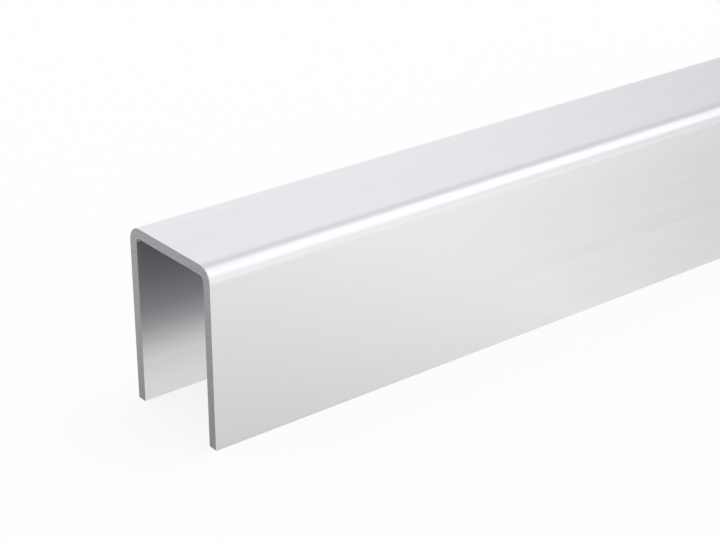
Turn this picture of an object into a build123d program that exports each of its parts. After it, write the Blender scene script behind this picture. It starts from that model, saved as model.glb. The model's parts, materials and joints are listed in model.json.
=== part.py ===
"""A U-channel of extruded aluminium, sold by the length.

The channel runs along X. It stands on the tips of its two legs, with its web on top,
and its origin is on the floor, halfway along the channel and halfway between the legs.
One wall thickness runs all the way round: down both legs, across the web and through
the two rounded corners. All sizes are in millimetres.
"""

import os

from build123d import *

# Driving dimensions
LENGTH = 1000.0  # one stock length, sawn square at both ends
WIDTH = 18.0  # over the outer faces of the two legs
HEIGHT = 25.0  # from the leg tips to the top of the web
WALL = 1.5  # thickness of the legs, the web and the corners
INNER_RADIUS = 0.75  # inside corner, where a leg meets the web
TIP_RADIUS = 0.1  # long edges of the leg tips, as the die leaves them
END_BREAK = 0.05  # edge taken off the sawn ends to clear the burr

# The outside of a corner has the same centre as its inside.
OUTER_RADIUS = INNER_RADIUS + WALL

PARTS_FOLDER = "parts"


def make_channel():
    """The whole channel, as one extruded solid."""
    with BuildPart() as channel:
        with BuildSketch(Plane.YZ.offset(-LENGTH / 2)):
            with BuildLine():
                # The outer skin goes up one leg, across the web and down the other.
                FilletPolyline(
                    (-WIDTH / 2, 0),
                    (-WIDTH / 2, HEIGHT),
                    (WIDTH / 2, HEIGHT),
                    (WIDTH / 2, 0),
                    radius=OUTER_RADIUS,
                )
                # The wall is added towards the inside, and closes at the leg tips.
                offset(amount=WALL, side=Side.RIGHT)
            make_face()
        extrude(amount=LENGTH)

        # The saw leaves a burr all round both ends, and it is broken off.
        sawn_faces = channel.faces().filter_by(Axis.X)
        chamfer(sawn_faces.edges(), END_BREAK)

        # The four lowest long edges are those of the two leg tips.
        tip_edges = channel.edges().filter_by(Axis.X).group_by(Axis.Z)[0]
        fillet(tip_edges, TIP_RADIUS)

    channel.part.label = "u_channel"
    return channel.part


def main():
    """Builds the channel and writes it as a STEP file named after its node."""
    os.makedirs(PARTS_FOLDER, exist_ok=True)
    channel = make_channel()
    export_step(channel, f"{PARTS_FOLDER}/{channel.label}.step")


main()
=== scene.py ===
"""An extruded aluminium U-channel, brushed and clear anodised, on a white table.

The file is laid out as an add-on and is run as a script. One operator extrudes the channel
with Geometry Nodes, and one sets the stage: table, softbox, camera and room. Sizes are in metres,
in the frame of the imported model, where the channel runs along X and stands on its leg tips.
"""

import json
import math

import bpy
from mathutils import Euler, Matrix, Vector


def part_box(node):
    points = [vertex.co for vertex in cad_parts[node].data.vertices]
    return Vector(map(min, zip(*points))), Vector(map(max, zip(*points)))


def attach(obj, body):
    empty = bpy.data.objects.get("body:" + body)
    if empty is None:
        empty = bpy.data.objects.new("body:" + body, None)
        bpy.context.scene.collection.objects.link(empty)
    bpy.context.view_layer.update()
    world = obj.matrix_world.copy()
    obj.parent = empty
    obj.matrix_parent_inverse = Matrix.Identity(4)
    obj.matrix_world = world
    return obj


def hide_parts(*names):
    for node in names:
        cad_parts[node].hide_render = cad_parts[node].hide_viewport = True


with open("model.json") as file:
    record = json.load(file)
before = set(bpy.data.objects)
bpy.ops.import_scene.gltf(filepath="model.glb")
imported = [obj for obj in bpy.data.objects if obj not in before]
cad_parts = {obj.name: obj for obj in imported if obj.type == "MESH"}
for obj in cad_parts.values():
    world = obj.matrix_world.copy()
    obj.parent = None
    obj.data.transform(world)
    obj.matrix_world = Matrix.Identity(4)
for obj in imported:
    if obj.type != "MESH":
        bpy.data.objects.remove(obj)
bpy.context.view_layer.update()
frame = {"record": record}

bl_info = {
    "name": "Aluminium U-channel",
    "version": (1, 0, 0),
    "blender": (4, 5, 0),
    "location": "3D View > Sidebar > U-channel",
    "description": "Extrudes a brushed and anodised aluminium U-channel and sets it in a studio",
    "category": "Add Mesh",
}

MM = 0.001
# A noise texture's values lie mostly between these.
NOISE_LOW, NOISE_HIGH = 0.3, 0.7
# A Mix node's colour sockets go by number, because its other sockets have the same names.
COLOUR_A, COLOUR_B, COLOUR_RESULT = 6, 7, 2
NODE = "u_channel"


def linear(hex_colour):
    """The linear red, green and blue of an sRGB hex colour such as "e6e6ea"."""
    shares = [int(hex_colour[i : i + 2], 16) / 255 for i in (0, 2, 4)]
    return [s / 12.92 if s <= 0.04045 else ((s + 0.055) / 1.055) ** 2.4 for s in shares]


def mount_place(name):
    """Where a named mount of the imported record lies."""
    return next(Vector(m["pos_m"]) for m in frame["record"]["mounts"] if m["name"] == name)


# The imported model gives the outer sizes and, by the web's underside, the wall.
LOW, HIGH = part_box(NODE)
LENGTH, WIDTH, HEIGHT = (high - low for low, high in zip(LOW, HIGH))
WALL = HEIGHT - mount_place("web_underside").z


class ChannelSizes(bpy.types.PropertyGroup):
    """The sizes of the extruded section and of the saw cut."""

    length: bpy.props.FloatProperty(
        name="Length", description="From one sawn end to the other", default=LENGTH, unit="LENGTH"
    )
    width: bpy.props.FloatProperty(
        name="Width", description="Over the outer faces of the two legs", default=WIDTH, unit="LENGTH"
    )
    height: bpy.props.FloatProperty(
        name="Height", description="From the leg tips to the top of the web", default=HEIGHT, unit="LENGTH"
    )
    wall: bpy.props.FloatProperty(
        name="Wall", description="Thickness of the legs and the web", default=WALL, unit="LENGTH"
    )
    inner_radius: bpy.props.FloatProperty(
        name="Inner radius",
        description="Inside corner, where a leg meets the web",
        default=0.75 * MM,
        unit="LENGTH",
        precision=5,
    )
    tip_radius: bpy.props.FloatProperty(
        name="Tip radius",
        description="Long edges of the leg tips, as the die leaves them",
        default=0.1 * MM,
        unit="LENGTH",
        precision=5,
    )
    end_break: bpy.props.FloatProperty(
        name="End break",
        description="Edge filed off the sawn ends to clear the burr",
        default=0.05 * MM,
        unit="LENGTH",
        precision=5,
    )
    corner_steps: bpy.props.IntProperty(
        name="Corner steps", description="Flat steps in each rounded corner", default=16, min=2
    )
    bays: bpy.props.IntProperty(
        name="Bays", description="Equal lengths that the mesh is divided into", default=20, min=1
    )


class ChannelFinish(bpy.types.PropertyGroup):
    """The colours of the metal."""

    skin: bpy.props.FloatVectorProperty(
        name="Brushed skin",
        description="Colour of the brushed and anodised outside",
        subtype="COLOR",
        default=linear("f4f4f5"),
        min=0,
        max=1,
    )
    # The inside's colour is darker than the skin's partly for its etched finish and partly as painted shade
    # for the hollow between the legs.
    inside: bpy.props.FloatVectorProperty(
        name="Etched inside",
        description="Colour of the inside, which is etched and anodised but not brushed",
        subtype="COLOR",
        default=linear("e0e0e2"),
        min=0,
        max=1,
    )
    sawn: bpy.props.FloatVectorProperty(
        name="Sawn end",
        description="Colour of the bare metal where the saw cut it",
        subtype="COLOR",
        default=linear("babbbd"),
        min=0,
        max=1,
    )
    filed: bpy.props.FloatVectorProperty(
        name="Filed edge",
        description="Colour of the bare metal where the burr was filed off",
        subtype="COLOR",
        default=linear("fafafa"),
        min=0,
        max=1,
    )


class StudioSettings(bpy.types.PropertyGroup):
    """The light of the studio and the place of the camera."""

    surround: bpy.props.FloatProperty(
        name="Surroundings", description="Strength of the light on matt things from all round", default=1.0
    )
    softbox: bpy.props.FloatProperty(
        name="Softbox", description="Power of the long softbox above the front", default=2.77, unit="POWER"
    )
    softbox_place: bpy.props.FloatVectorProperty(
        name="Softbox place",
        description="Where the softbox hangs, turned towards the channel's line",
        subtype="TRANSLATION",
        default=(0.776, -0.56, 1.0),
    )
    softbox_size: bpy.props.FloatVectorProperty(
        name="Softbox size", description="Length and width of the softbox", size=2, default=(1.45, 1.2)
    )
    camera_place: bpy.props.FloatVectorProperty(
        name="Camera place",
        description="Where the camera stands, near the end of the channel that it looks at",
        subtype="TRANSLATION",
        default=(-0.6112, -0.1783, 0.1182),
    )
    camera_turn: bpy.props.FloatVectorProperty(
        name="Camera turn",
        description="Which way the camera looks",
        subtype="EULER",
        default=[math.radians(angle) for angle in (65.197, 0.059, -38.425)],
    )
    lens: bpy.props.FloatProperty(
        name="Lens", description="Focal length of the camera, in millimetres", default=92.97
    )


def add(tree, kind, inputs=(), **settings):
    """Adds a node and its settings, and fills its inputs, given in order or by name.

    An input takes a plain value, another node's socket, or another node, for its first output.
    """
    made = tree.nodes.new(kind)
    for name, value in settings.items():
        setattr(made, name, value)
    filled = inputs.items() if isinstance(inputs, dict) else enumerate(inputs)
    for socket, value in filled:
        if isinstance(value, bpy.types.Node):
            value = value.outputs[0]
        if isinstance(value, bpy.types.NodeSocket):
            tree.links.new(value, made.inputs[socket])
        else:
            made.inputs[socket].default_value = value
    return made


def new_material(name):
    """An empty material, its node tree and its Object coordinates."""
    material = bpy.data.materials.new(name)
    material.use_nodes = True
    tree = material.node_tree
    tree.nodes.clear()
    place = add(tree, "ShaderNodeTexCoord").outputs["Object"]
    return material, tree, place


def darkened(tree, colour, marks, darkest, plain_from=NOISE_HIGH):
    """A colour that is darkest in the marks of its making, and plain where there are none."""
    level = {"Value": marks, "From Min": NOISE_LOW, "From Max": plain_from, "To Min": darkest, "To Max": 1.0}
    share = add(tree, "ShaderNodeMapRange", level).outputs[0]
    return add(tree, "ShaderNodeVectorMath", {0: tuple(colour), "Scale": share}, operation="SCALE")


def finish_metal(tree, colour, marks, roughest, smoothest, depth, **more):
    """Ends a material as metal, which is roughest and lowest in the marks of its making."""
    level = {"Value": marks, "From Min": NOISE_LOW, "From Max": NOISE_HIGH}
    roughness = add(tree, "ShaderNodeMapRange", {**level, "To Min": roughest, "To Max": smoothest})
    bump = add(tree, "ShaderNodeBump", {"Height": marks, "Strength": 1.0, "Distance": depth})
    metal = {"Base Color": colour, "Metallic": 1.0, "Roughness": roughness, "Normal": bump, **more}
    add(tree, "ShaderNodeOutputMaterial", [add(tree, "ShaderNodeBsdfPrincipled", metal)])


def lines_along(tree, place, length, pitch, **noise):
    """Noise that is stretched into lines along X, as long and as far apart as is given."""
    scale = (1 / length, 1 / pitch, 1 / pitch)
    stretched = add(tree, "ShaderNodeMapping", {"Vector": place, "Scale": scale})
    return add(tree, "ShaderNodeTexNoise", {"Vector": stretched, "Scale": 1.0, **noise})


def brushed_anodised_aluminium(finish):
    """Extruded aluminium, brushed along its length and then clear anodised.

    The brush leaves hair lines along X. Each is a shallow groove, so a highlight spreads across
    the lines more than along them. The die leaves wider bands under the brushing. Where the
    brush bore hard, both show as fine dark streaks, and between such stretches the metal looks
    almost plain.
    """
    material, tree, place = new_material("brushed_anodised_aluminium")
    # Real hair lines are under 0.1 mm apart. They are drawn coarser here, so that they show.
    hair = lines_along(tree, place, length=9 * MM, pitch=0.45 * MM, Detail=2.0, Roughness=0.55)
    band = lines_along(tree, place, length=300 * MM, pitch=2.5 * MM, Detail=1.0)
    band_share = 0.33
    both = add(tree, "ShaderNodeMix", {"Factor": band_share, "A": hair, "B": band}, data_type="FLOAT")

    # Where the brush bore hard, in stretches of about this length and width. The fourth dimension
    # is the seed. Of 400 that were tried, this one best leaves the web and the near end plain.
    stretch_length, stretch_width = 70 * MM, 22 * MM
    seed = 155.0
    scale = (1 / stretch_length, 1 / stretch_width, 1 / stretch_width)
    stretched = add(tree, "ShaderNodeMapping", {"Vector": place, "Scale": scale})
    slow = {"Vector": stretched, "W": seed, "Scale": 1.0, "Detail": 0.0}
    bearing = add(tree, "ShaderNodeTexNoise", slow, noise_dimensions="4D")
    pressure = {"Value": bearing, "From Min": 0.42, "From Max": 0.68, "To Min": 0.3, "To Max": 1.0}
    no_line = 0.5
    worn = {"Factor": add(tree, "ShaderNodeMapRange", pressure), "A": no_line, "B": both}
    lines = add(tree, "ShaderNodeMix", worn, data_type="FLOAT")
    colour = darkened(tree, finish.skin, lines, darkest=0.948, plain_from=0.6)

    # The noise uses about a third of its depth, so the grooves are a micron or two deep.
    across = add(tree, "ShaderNodeTangent", direction_type="RADIAL", axis="X")
    spread = {"Anisotropic": 0.5, "Tangent": across}
    finish_metal(tree, colour, lines, roughest=0.34, smoothest=0.28, depth=0.006 * MM, **spread)
    return material


def etched_anodised_aluminium(finish, sizes):
    """The inside and the leg tips, which no brush reaches: extruded, etched and clear anodised.

    Etching leaves a fine even grain, so this side is matt, and the die's own lines still run along X
    under it. Its colour is a little darker than the skin's, partly for the etched finish and partly
    as painted shade for the hollow between the legs. The two inner corners are darker still: painted shade.
    """
    material, tree, place = new_material("etched_anodised_aluminium")
    maths = "ShaderNodeMath"
    # The real grain is a few hundredths of a millimetre. It is drawn coarser, so that it shows.
    grain_size = 0.25 * MM
    noise = {"Vector": place, "Scale": 1 / grain_size, "Detail": 2.0, "Roughness": 0.6}
    grain = add(tree, "ShaderNodeTexNoise", noise)
    lines = lines_along(tree, place, length=250 * MM, pitch=0.8 * MM, Detail=2.0)
    line_share = 0.5
    both = add(tree, "ShaderNodeMix", {"Factor": line_share, "A": grain, "B": lines}, data_type="FLOAT")

    # Painted shade: an inner corner keeps this share of the colour, and fades to it just past its
    # start. How far a point is past that start is taken both across and up.
    corner_shade_share = 0.4
    fade_over = 0.15 * MM
    axes = add(tree, "ShaderNodeSeparateXYZ", [place]).outputs
    aside = add(tree, maths, [axes["Y"]], operation="ABSOLUTE")
    reach = sizes.wall + sizes.inner_radius
    across = add(tree, maths, [aside, sizes.width / 2 - reach], operation="SUBTRACT")
    up = add(tree, maths, [axes["Z"], sizes.height - reach], operation="SUBTRACT")
    past = add(tree, maths, [across, up], operation="MINIMUM")
    fade = {"Value": past, "From Max": fade_over, "To Min": 1.0, "To Max": corner_shade_share}
    corner = add(tree, "ShaderNodeMapRange", fade).outputs[0]
    plain = darkened(tree, finish.inside, both, darkest=0.94)
    colour = add(tree, "ShaderNodeVectorMath", {0: plain, "Scale": corner}, operation="SCALE")
    finish_metal(tree, colour, both, roughest=0.35, smoothest=0.29, depth=0.003 * MM)
    return material


def sawn_aluminium(finish):
    """Bare metal as a circular saw leaves it: duller than the skin, with the teeth's fine arcs."""
    material, tree, place = new_material("sawn_aluminium")
    # A tooth cuts well under 0.1 mm. Its arcs and the torn grain between them are drawn coarser
    # here, so that they show.
    arc_pitch = 0.28 * MM
    grain_size = 0.2 * MM
    # The blade came up from below, a little to one side, so the arcs lie almost along the web.
    blade_radius = 150 * MM
    axle = (0, -0.2 * blade_radius, -0.98 * blade_radius)
    from_axle = add(tree, "ShaderNodeVectorMath", [place, axle], operation="SUBTRACT")
    flat = add(tree, "ShaderNodeVectorMath", [from_axle, (0, 1, 1)], operation="MULTIPLY")
    radius = add(tree, "ShaderNodeVectorMath", [flat], operation="LENGTH").outputs["Value"]
    noise = {"W": radius, "Scale": 1 / arc_pitch, "Detail": 2.0, "Roughness": 0.7}
    arcs = add(tree, "ShaderNodeTexNoise", noise, noise_dimensions="1D")
    grain = add(tree, "ShaderNodeTexNoise", {"Vector": place, "Scale": 1 / grain_size, "Detail": 2.0})
    grain_share = 0.65
    marks = add(tree, "ShaderNodeMix", {"Factor": grain_share, "A": arcs, "B": grain}, data_type="FLOAT")
    colour = darkened(tree, finish.sawn, marks, darkest=0.66)
    finish_metal(tree, colour, marks, roughest=0.54, smoothest=0.44, depth=0.006 * MM)
    return material


def filed_aluminium(finish):
    """Bare metal where a file took the burr off: bright, with the file's fine scratches."""
    material, tree, place = new_material("filed_aluminium")
    scratch_size = 0.15 * MM
    noise = {"Vector": place, "Scale": 1 / scratch_size, "Detail": 2.0, "Roughness": 0.6}
    scratches = add(tree, "ShaderNodeTexNoise", noise)
    colour = (*finish.filed, 1)
    finish_metal(tree, colour, scratches, roughest=0.34, smoothest=0.22, depth=0.002 * MM)
    return material


def extrusion_tree():
    """The node group that draws the section, extrudes it and breaks the sawn edges."""
    tree = bpy.data.node_groups.new("channel_extrusion", "GeometryNodeTree")
    face = tree.interface
    for name in ("Length", "Width", "Height", "Wall", "Inner Radius", "Tip Radius", "End Break"):
        face.new_socket(name, in_out="INPUT", socket_type="NodeSocketFloat")
    for name in ("Corner Steps", "Bays"):
        face.new_socket(name, in_out="INPUT", socket_type="NodeSocketInt")
    for name in ("Skin", "Inside", "Sawn", "Filed"):
        face.new_socket(name, in_out="INPUT", socket_type="NodeSocketMaterial")
    face.new_socket("Geometry", in_out="OUTPUT", socket_type="NodeSocketGeometry")
    given = add(tree, "NodeGroupInput").outputs
    maths = "ShaderNodeMath"

    # The outline's corners, each with its radius, its place across and its height.
    # The sweep turns a section over, so it is drawn with its heights below zero.
    half = add(tree, maths, [given["Width"], 0.5], operation="MULTIPLY")
    half_inside = add(tree, maths, [half, given["Wall"]], operation="SUBTRACT")
    top = add(tree, maths, [given["Height"], -1.0], operation="MULTIPLY")
    roof = add(tree, maths, [top, given["Wall"]], operation="ADD")
    outer = add(tree, maths, [given["Inner Radius"], given["Wall"]], operation="ADD")
    right = [
        (given["Tip Radius"], half_inside, 0.0),
        (given["Inner Radius"], half_inside, roof),
        (given["Tip Radius"], half, 0.0),
        (outer, half, top),
    ]
    left = [
        (radius, add(tree, maths, [across, -1.0], operation="MULTIPLY"), up) for radius, across, up in right
    ]
    loop = [left[2], left[3], right[3], right[2], right[0], right[1], left[1], left[0]]
    chosen = add(tree, "GeometryNodeIndexSwitch", data_type="VECTOR")
    while len(chosen.index_switch_items) < len(loop):
        chosen.index_switch_items.new()
    tree.links.new(add(tree, "GeometryNodeInputIndex").outputs[0], chosen.inputs["Index"])
    for number, (radius, across, up) in enumerate(loop):
        corner = add(tree, "ShaderNodeCombineXYZ", [across, up, radius])
        tree.links.new(corner.outputs[0], chosen.inputs[str(number)])
    flat = add(tree, "ShaderNodeVectorMath", [chosen, (1, 1, 0)], operation="MULTIPLY")
    radius = add(tree, "ShaderNodeSeparateXYZ", [chosen]).outputs["Z"]

    # The outline is drawn through the corners and rounded at each.
    points = add(tree, "GeometryNodePoints", {"Count": len(loop), "Position": flat})
    kept = add(tree, "GeometryNodeCaptureAttribute", [points], domain="POINT")
    kept.capture_items.new("FLOAT", "Radius")
    tree.links.new(radius, kept.inputs["Radius"])
    sharp = add(tree, "GeometryNodePointsToCurves", [kept])
    closed = add(tree, "GeometryNodeSetSplineCyclic", {"Geometry": sharp, "Cyclic": True})
    rounded = add(
        tree,
        "GeometryNodeFilletCurve",
        {"Curve": closed, "Count": given["Corner Steps"], "Radius": kept.outputs["Radius"]},
        mode="POLY",
    )
    outward = add(
        tree,
        "ShaderNodeVectorMath",
        [add(tree, "GeometryNodeInputTangent"), (0, 0, 1)],
        operation="CROSS_PRODUCT",
    )
    section = add(tree, "GeometryNodeCaptureAttribute", [rounded], domain="POINT")
    section.capture_items.new("VECTOR", "Outward")
    tree.links.new(outward.outputs[0], section.inputs["Outward"])

    # The path's first and last bays are as short as the edges that are filed off, and they add
    # two stops to those of the equal bays.
    end = add(tree, maths, [given["Length"], 0.5], operation="MULTIPLY")
    start = add(tree, maths, [end, -1.0], operation="MULTIPLY")
    full_start = add(tree, maths, [start, given["End Break"]], operation="ADD")
    full_length = add(tree, maths, [full_start, -2.0], operation="MULTIPLY")
    bay = add(tree, maths, [full_length, given["Bays"]], operation="DIVIDE")
    passed = add(tree, maths, [add(tree, "GeometryNodeInputIndex"), 1.0], operation="SUBTRACT")
    along = add(tree, maths, [passed, bay, full_start], operation="MULTIPLY_ADD")
    held = add(tree, "ShaderNodeClamp", [along, start, end])
    stop = add(tree, "ShaderNodeCombineXYZ", [held])
    rings = add(tree, maths, [given["Bays"], 3.0], operation="ADD")
    stops = add(tree, "GeometryNodePoints", {"Count": rings, "Position": stop})
    bar = add(
        tree,
        "GeometryNodeCurveToMesh",
        {
            "Curve": add(tree, "GeometryNodePointsToCurves", [stops]),
            "Profile Curve": section,
            "Fill Caps": True,
        },
    )

    # The two end rings are drawn in by as much as was filed off.
    place = add(tree, "ShaderNodeSeparateXYZ", [add(tree, "GeometryNodeInputPosition")]).outputs
    from_middle = add(tree, maths, [place["X"]], operation="ABSOLUTE")
    almost_end = add(tree, maths, [given["End Break"], -0.5, end], operation="MULTIPLY_ADD")
    at_end = add(tree, maths, [from_middle, almost_end], operation="GREATER_THAN")
    drawn = add(tree, "ShaderNodeSeparateXYZ", [section.outputs["Outward"]]).outputs
    inward = add(tree, "ShaderNodeCombineXYZ", {"Y": drawn["X"], "Z": drawn["Y"]})
    inset = add(tree, "ShaderNodeVectorMath", {0: inward, "Scale": given["End Break"]}, operation="SCALE")
    broken = add(tree, "GeometryNodeSetPosition", {"Geometry": bar, "Selection": at_end, "Offset": inset})

    # The sawn and filed edges stay crisp, and the rounded corners are shaded smooth.
    crisp_from = math.radians(30)
    smooth = add(
        tree, "GeometryNodeSetShadeSmooth", {"Geometry": broken, "Shade Smooth": True}, domain="FACE"
    )
    bend = add(tree, "GeometryNodeInputMeshEdgeAngle")
    crisp = add(tree, maths, [bend, crisp_from], operation="GREATER_THAN")
    shaded = add(
        tree,
        "GeometryNodeSetShadeSmooth",
        {"Geometry": smooth, "Selection": crisp, "Shade Smooth": False},
        domain="EDGE",
    )

    # Each face takes the finish of its side. No brush reaches the inside and the leg tips.
    facing = add(tree, "ShaderNodeSeparateXYZ", [add(tree, "GeometryNodeInputNormal")]).outputs["X"]
    endways = add(tree, maths, [facing], operation="ABSOLUTE")
    aside = add(tree, maths, [place["Y"]], operation="ABSOLUTE")
    mid_leg = add(tree, maths, [given["Wall"], -0.5, half], operation="MULTIPLY_ADD")
    mid_web = add(tree, maths, [given["Wall"], -0.5, given["Height"]], operation="MULTIPLY_ADD")
    between_legs = add(tree, maths, [aside, mid_leg], operation="LESS_THAN")
    under_web = add(tree, maths, [place["Z"], mid_web], operation="LESS_THAN")
    in_channel = add(tree, maths, [between_legs, under_web], operation="MULTIPLY")
    at_tip = add(tree, maths, [place["Z"], given["Tip Radius"]], operation="LESS_THAN")
    # A filed edge leans, and a sawn end faces straight along X. The file reaches the outer edges
    # only, so the inner ones look as the saw left them.
    leaning, straight = 0.3, 0.9
    least_sawn = add(tree, maths, [in_channel, leaning - straight, straight], operation="MULTIPLY_ADD")
    finishes = (
        ("Skin", True),
        ("Inside", add(tree, maths, [in_channel, at_tip], operation="MAXIMUM")),
        ("Filed", add(tree, maths, [endways, leaning], operation="GREATER_THAN")),
        ("Sawn", add(tree, maths, [endways, least_sawn], operation="GREATER_THAN")),
    )
    finished = add(tree, "GeometryNodeRealizeInstances", [shaded])
    for name, faces in finishes:
        finished = add(
            tree,
            "GeometryNodeSetMaterial",
            {"Geometry": finished, "Selection": faces, "Material": given[name]},
        )
    add(tree, "NodeGroupOutput", [finished])
    return tree


class UCHANNEL_OT_extrude(bpy.types.Operator):
    """Extrudes the channel, breaks its sawn ends and gives it its finishes"""

    bl_idname = "u_channel.extrude"
    bl_label = "Extrude the channel"

    def execute(self, context):
        sizes = context.scene.u_channel_sizes
        finish = context.scene.u_channel_finish
        values = {
            "Length": sizes.length,
            "Width": sizes.width,
            "Height": sizes.height,
            "Wall": sizes.wall,
            "Inner Radius": sizes.inner_radius,
            "Tip Radius": sizes.tip_radius,
            "End Break": sizes.end_break,
            "Corner Steps": sizes.corner_steps,
            "Bays": sizes.bays,
            "Skin": brushed_anodised_aluminium(finish),
            "Inside": etched_anodised_aluminium(finish, sizes),
            "Sawn": sawn_aluminium(finish),
            "Filed": filed_aluminium(finish),
        }
        channel = bpy.data.objects.new("channel", bpy.data.meshes.new("channel"))
        context.scene.collection.objects.link(channel)
        extrusion = channel.modifiers.new("Extrusion", "NODES")
        extrusion.node_group = extrusion_tree()
        for socket in extrusion.node_group.interface.items_tree:
            if socket.in_out == "INPUT":
                extrusion[socket.identifier] = values[socket.name]
        # The wide flats keep their own normals beside the narrow steps of the corners.
        flats = channel.modifiers.new("Flats", "WEIGHTED_NORMAL")
        flats.keep_sharp = True

        evaluated = channel.evaluated_get(context.evaluated_depsgraph_get())
        mesh = bpy.data.meshes.new_from_object(evaluated)
        if not mesh.polygons:
            raise RuntimeError("the extrusion made no faces")
        channel.modifiers.clear()
        channel.data = mesh
        mesh.name = channel.name
        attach(channel, "root")
        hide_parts(NODE)
        return {"FINISHED"}


def glow_along(tree, from_middle, inset, reach, brightest, darkest):
    """A glow that is brightest at an inset from each end, and darkest beyond its reach."""
    along = add(tree, "ShaderNodeMath", [from_middle, LENGTH / 2 - inset], operation="SUBTRACT")
    off = add(tree, "ShaderNodeMath", [along], operation="ABSOLUTE")
    level = {"Value": off, "From Max": reach, "To Min": brightest, "To Max": darkest}
    return add(tree, "ShaderNodeMapRange", level)


def white_table():
    """A white acrylic table, lit from below and from above.

    The camera sees it as white, with the channel's soft shadow. The metal mirrors it too: darker
    close to the channel than further away, and brightest some way in from each end. Between the
    legs it fades with every turn that the light takes from leg to leg, towards a dark and slightly
    cooler web, except for light that has come up through the table.

    No real table glows like that. The pattern shows in reflections alone, and its numbers were
    fitted until the metal had the gradients that it has in the photo.
    """
    material, tree, place = new_material("white_table")
    maths = "ShaderNodeMath"
    aside = add(tree, "ShaderNodeVectorMath", [place], operation="ABSOLUTE")
    apart = add(tree, "ShaderNodeSeparateXYZ", [aside]).outputs

    # Beside the channel. Past its ends, the glow grows to both sides of the channel's line.
    end = LENGTH / 2
    most_past_end = 0.35
    near = glow_along(tree, apart["X"], inset=63 * MM, reach=98 * MM, brightest=0.91, darkest=0.455)
    beyond = {"Value": apart["X"], "From Min": end, "From Max": end + 10 * MM, "To Max": most_past_end}
    past_end = {"Value": apart["Y"], "From Max": 35 * MM, "To Max": add(tree, "ShaderNodeMapRange", beyond)}
    close = add(tree, maths, [near, add(tree, "ShaderNodeMapRange", past_end)], operation="ADD")
    away = glow_along(tree, apart["X"], inset=125 * MM, reach=78 * MM, brightest=1.25, darkest=0.965)
    across = {"Value": apart["Y"], "From Min": 35 * MM, "From Max": 95 * MM, "To Min": close, "To Max": away}
    beside = add(tree, "ShaderNodeMapRange", across, interpolation_type="SMOOTHSTEP")

    # Between the legs, where each turn leaves this share of the glow.
    left_by_turn = 0.355
    ray = add(tree, "ShaderNodeLightPath").outputs
    in_length = add(tree, maths, [apart["X"], end], operation="LESS_THAN")
    in_width = add(tree, maths, [apart["Y"], WIDTH / 2 - WALL / 2], operation="LESS_THAN")
    under = add(tree, maths, [in_length, in_width], operation="MULTIPLY")
    turns = add(tree, maths, [ray["Glossy Depth"], 1.0], operation="SUBTRACT")
    fading = {"Value": ray["Transparent Depth"], "To Min": left_by_turn, "To Max": 1.0}
    inside = add(tree, maths, [add(tree, "ShaderNodeMapRange", fading), turns], operation="POWER")

    # The metal mirrors the glow, and what has turned between the legs looks cooler.
    glow = add(tree, "ShaderNodeMapRange", {"Value": under, "To Min": beside, "To Max": inside})
    glossy = ray["Is Glossy Ray"]
    strength = add(tree, "ShaderNodeMapRange", {"Value": glossy, "To Min": 1.0, "To Max": glow})
    turning = {"Value": ray["Glossy Depth"], "From Min": 1.0, "From Max": 2.0}
    turned = add(tree, "ShaderNodeMapRange", turning)
    colours = {"Factor": turned, COLOUR_A: (1, 1, 1, 1), COLOUR_B: (*linear("f8f8ff"), 1)}
    tint = add(tree, "ShaderNodeMix", colours, data_type="RGBA").outputs[COLOUR_RESULT]

    # Most of what the camera and the metal see is the light from below. The rest is matt white,
    # lit from above, which takes the channel's shadow.
    seen_from_below = 0.85
    from_below = add(tree, "ShaderNodeEmission", {"Color": tint, "Strength": strength})
    from_above = add(tree, "ShaderNodeBsdfDiffuse", {"Color": (*linear("f7f7f7"), 1)})
    mirrored = {"Value": under, "To Min": 0.7, "To Max": 0.95}
    mirrored_share = add(tree, "ShaderNodeMapRange", mirrored)
    seen = add(tree, maths, [ray["Is Camera Ray"], ray["Is Transmission Ray"]], operation="MAXIMUM")
    seen_share = add(tree, maths, [seen, seen_from_below], operation="MULTIPLY")
    share = add(tree, maths, [glossy, mirrored_share, seen_share], operation="MULTIPLY_ADD")
    upper = add(tree, "ShaderNodeMixShader", [share, from_above, from_below])
    # From below, the table is clear, so the leg tips can be looked at.
    underside = add(tree, "ShaderNodeNewGeometry").outputs["Backfacing"]
    both = add(tree, "ShaderNodeMixShader", [underside, upper, add(tree, "ShaderNodeBsdfTransparent")])
    add(tree, "ShaderNodeOutputMaterial", [both])
    return material


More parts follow.
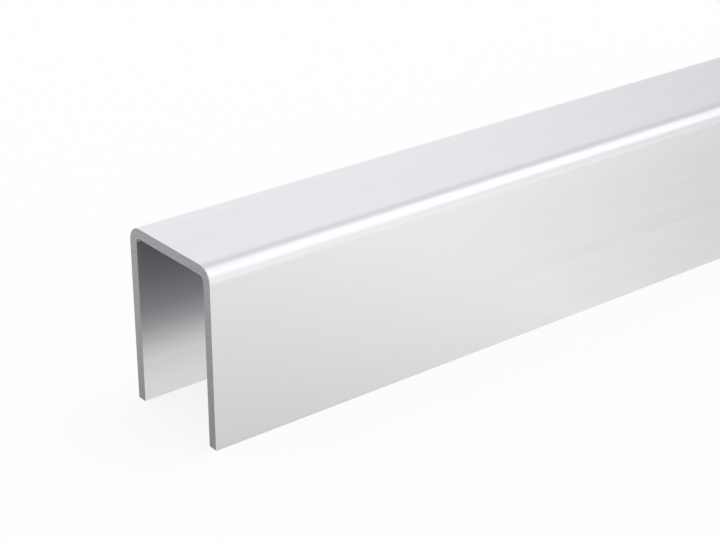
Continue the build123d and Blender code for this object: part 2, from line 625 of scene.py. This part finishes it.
def studio_room(surround):
    """A white room, which the camera sees as plain white.

    In the metal its ceiling is a little darker and cooler, and its two end walls are darker. That
    gives the flats their shading, and it was fitted to the photo as the table's glow was.
    """
    world = bpy.data.worlds.new("studio_room")
    world.use_nodes = True
    tree = world.node_tree
    tree.nodes.clear()
    maths = "ShaderNodeMath"
    ceiling_level, wall_shade, cool_from = 0.726, 0.6, 0.4
    ray = add(tree, "ShaderNodeLightPath").outputs
    glossy = ray["Is Glossy Ray"]
    direction = add(tree, "ShaderNodeTexCoord").outputs["Generated"]
    towards = add(tree, "ShaderNodeSeparateXYZ", [direction]).outputs
    endways = add(tree, maths, [towards["X"]], operation="ABSOLUTE")
    wall_starts, wall_full = math.sin(math.radians(34.5)), math.sin(math.radians(77.5))
    wall = {"Value": endways, "From Min": wall_starts, "From Max": wall_full, "To Max": wall_shade}
    end_walls = add(tree, "ShaderNodeMapRange", wall, interpolation_type="SMOOTHSTEP")
    ceiling_starts, ceiling_full = math.sin(math.radians(18)), math.sin(math.radians(64))
    above = {"Value": towards["Z"], "From Min": ceiling_starts, "From Max": ceiling_full}
    dimmed = {**above, "To Min": 1.0, "To Max": ceiling_level}
    ceiling = add(tree, "ShaderNodeMapRange", dimmed, interpolation_type="SMOOTHSTEP")
    shaded = add(tree, maths, [ceiling, end_walls], operation="SUBTRACT")

    mirrored = add(tree, "ShaderNodeMapRange", {"Value": glossy, "To Min": 1.0, "To Max": shaded})
    through = add(tree, maths, [ray["Is Camera Ray"], ray["Is Transmission Ray"]], operation="MAXIMUM")
    seen = add(tree, maths, [through, glossy], operation="MAXIMUM")
    strength = add(tree, "ShaderNodeMapRange", {"Value": seen, "To Min": surround, "To Max": mirrored})
    cooling = {"Value": towards["Z"], "From Max": cool_from, "To Max": glossy}
    upwards = add(tree, "ShaderNodeMapRange", cooling)
    colours = {"Factor": upwards, COLOUR_A: (1, 1, 1, 1), COLOUR_B: (*linear("fafbff"), 1)}
    tint = add(tree, "ShaderNodeMix", colours, data_type="RGBA").outputs[COLOUR_RESULT]
    light = add(tree, "ShaderNodeBackground", {"Color": tint, "Strength": strength})
    add(tree, "ShaderNodeOutputWorld", [light])
    return world


class UCHANNEL_OT_stage(bpy.types.Operator):
    """Lays the table, hangs the softbox, places the camera and builds the room around them"""

    bl_idname = "u_channel.stage"
    bl_label = "Set the stage"

    def execute(self, context):
        studio = context.scene.u_channel_studio
        self.lay_table(context)
        self.hang_softbox(context, studio)
        self.place_camera(context, studio)
        context.scene.world = studio_room(studio.surround)
        context.scene.view_settings.view_transform = "Standard"
        return {"FINISHED"}

    def lay_table(self, context):
        """The table's top is a hair under the leg tips, so that the two faces never coincide."""
        reach = 20.0
        just_below = -0.02 * MM
        corners = [(-reach, -reach), (reach, -reach), (reach, reach), (-reach, reach)]
        mesh = bpy.data.meshes.new("table")
        mesh.from_pydata([(x, y, just_below) for x, y in corners], [], [(0, 1, 2, 3)])
        mesh.materials.append(white_table())
        table = bpy.data.objects.new("table", mesh)
        context.scene.collection.objects.link(table)

    def hang_softbox(self, context, studio):
        """The softbox hangs over the front and faces the channel's line squarely."""
        lamp = bpy.data.lights.new("softbox", "AREA")
        lamp.shape = "RECTANGLE"
        lamp.size, lamp.size_y = studio.softbox_size
        lamp.energy = studio.softbox
        box = bpy.data.objects.new("softbox", lamp)
        box.location = studio.softbox_place
        towards_line = Vector((0, -studio.softbox_place.y, -studio.softbox_place.z))
        box.rotation_euler = towards_line.to_track_quat("-Z", "Y").to_euler()
        box.visible_camera = False
        context.scene.collection.objects.link(box)

    def place_camera(self, context, studio):
        """The camera stands close, so its clipping starts closer than Blender's own."""
        camera = bpy.data.cameras.new("camera")
        camera.lens = studio.lens
        camera.clip_start = 0.01
        camera.clip_end = 100
        eye = bpy.data.objects.new("camera", camera)
        eye.location = studio.camera_place
        eye.rotation_euler = Euler(studio.camera_turn)
        context.scene.collection.objects.link(eye)
        context.scene.camera = eye


class UCHANNEL_PT_panel(bpy.types.Panel):
    """Lists the channel's operators and settings"""

    bl_idname = "UCHANNEL_PT_panel"
    bl_label = "Aluminium U-channel"
    bl_space_type = "VIEW_3D"
    bl_region_type = "UI"
    bl_category = "U-channel"

    def draw(self, context):
        """Each operator's button stands above the settings that it reads."""
        for operator, settings in STEPS:
            box = self.layout.box()
            box.operator(operator.bl_idname)
            for name in settings:
                group = getattr(context.scene, name)
                for prop in group.bl_rna.properties:
                    if prop.identifier not in ("rna_type", "name"):
                        box.prop(group, prop.identifier)


SETTINGS = {
    "u_channel_sizes": ChannelSizes,
    "u_channel_finish": ChannelFinish,
    "u_channel_studio": StudioSettings,
}
STEPS = (
    (UCHANNEL_OT_extrude, ("u_channel_sizes", "u_channel_finish")),
    (UCHANNEL_OT_stage, ("u_channel_studio",)),
)
CLASSES = (*SETTINGS.values(), UCHANNEL_OT_extrude, UCHANNEL_OT_stage, UCHANNEL_PT_panel)


def register():
    """Adds the classes, and each group of settings to the scene."""
    for kind in CLASSES:
        bpy.utils.register_class(kind)
    for name, kind in SETTINGS.items():
        setattr(bpy.types.Scene, name, bpy.props.PointerProperty(type=kind))


def unregister():
    """Takes away what register added."""
    for name in SETTINGS:
        delattr(bpy.types.Scene, name)
    for kind in reversed(CLASSES):
        bpy.utils.unregister_class(kind)


def main():
    """Makes the channel and its stage."""
    register()
    bpy.ops.u_channel.extrude()
    bpy.ops.u_channel.stage()


if __name__ == "__main__":
    main()
